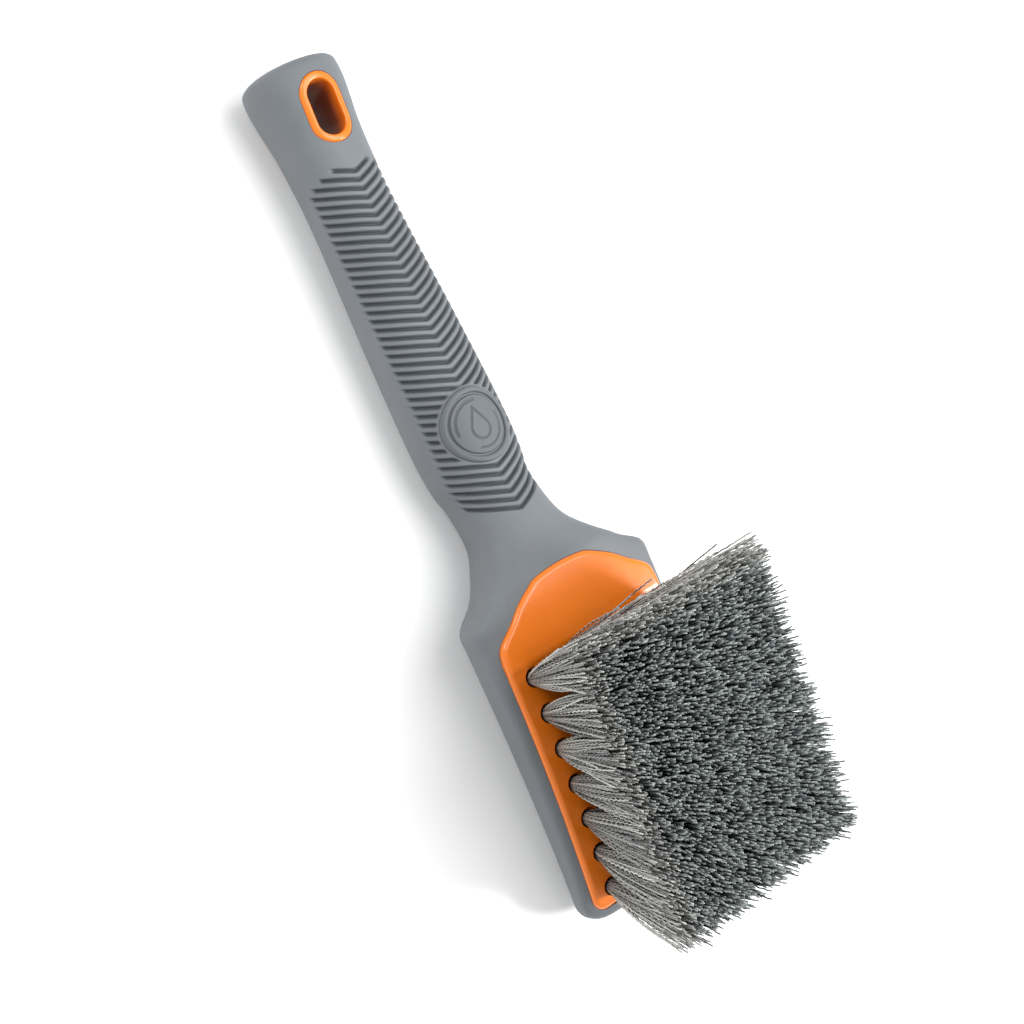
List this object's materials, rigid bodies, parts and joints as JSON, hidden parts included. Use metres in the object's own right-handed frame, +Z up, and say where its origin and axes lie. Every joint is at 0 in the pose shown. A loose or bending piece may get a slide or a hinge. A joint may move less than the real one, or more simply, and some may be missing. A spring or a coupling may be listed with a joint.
{
  "type": "wheel brush",
  "caption": "Short-handled wheel brush with a soft ribbed grip, a hard core that frames a hang slot, and a rectangular block of crimped bristle tufts that fans out.",
  "frame": {"origin": "on the flat of the back, under the middle of the head", "axes": "+X points from the handle end to the toe of the head, +Z points up along the bristles, and the brush lies on its back"},
  "size_m": [0.2565, 0.0666, 0.079],
  "materials": {
    "hard_core": "moulded orange polypropylene, glossy",
    "soft_grip": "soft grey thermoplastic rubber, matt",
    "bristle": "crimped grey polypropylene filament",
    "anchor_wire": "flat galvanised wire"
  },
  "bodies": {
    "root": {"core": "hard_core", "overmould": "soft_grip", "tuft_anchors": "anchor_wire", "tuft_1_1": "bristle", "tuft_1_2": "bristle", "tuft_1_3": "bristle", "tuft_1_4": "bristle", "tuft_1_5": "bristle", "tuft_2_1": "bristle", "tuft_2_2": "bristle", "tuft_2_3": "bristle", "tuft_2_4": "bristle", "tuft_2_5": "bristle", "tuft_3_1": "bristle", "tuft_3_2": "bristle", "tuft_3_3": "bristle", "tuft_3_4": "bristle", "tuft_3_5": "bristle", "tuft_4_1": "bristle", "tuft_4_2": "bristle", "tuft_4_3": "bristle", "tuft_4_4": "bristle", "tuft_4_5": "bristle", "tuft_5_1": "bristle", "tuft_5_2": "bristle", "tuft_5_3": "bristle", "tuft_5_4": "bristle", "tuft_5_5": "bristle", "tuft_6_1": "bristle", "tuft_6_2": "bristle", "tuft_6_3": "bristle", "tuft_6_4": "bristle", "tuft_6_5": "bristle", "tuft_7_1": "bristle", "tuft_7_2": "bristle", "tuft_7_3": "bristle", "tuft_7_4": "bristle", "tuft_7_5": "bristle"}
  },
  "joints": []
}
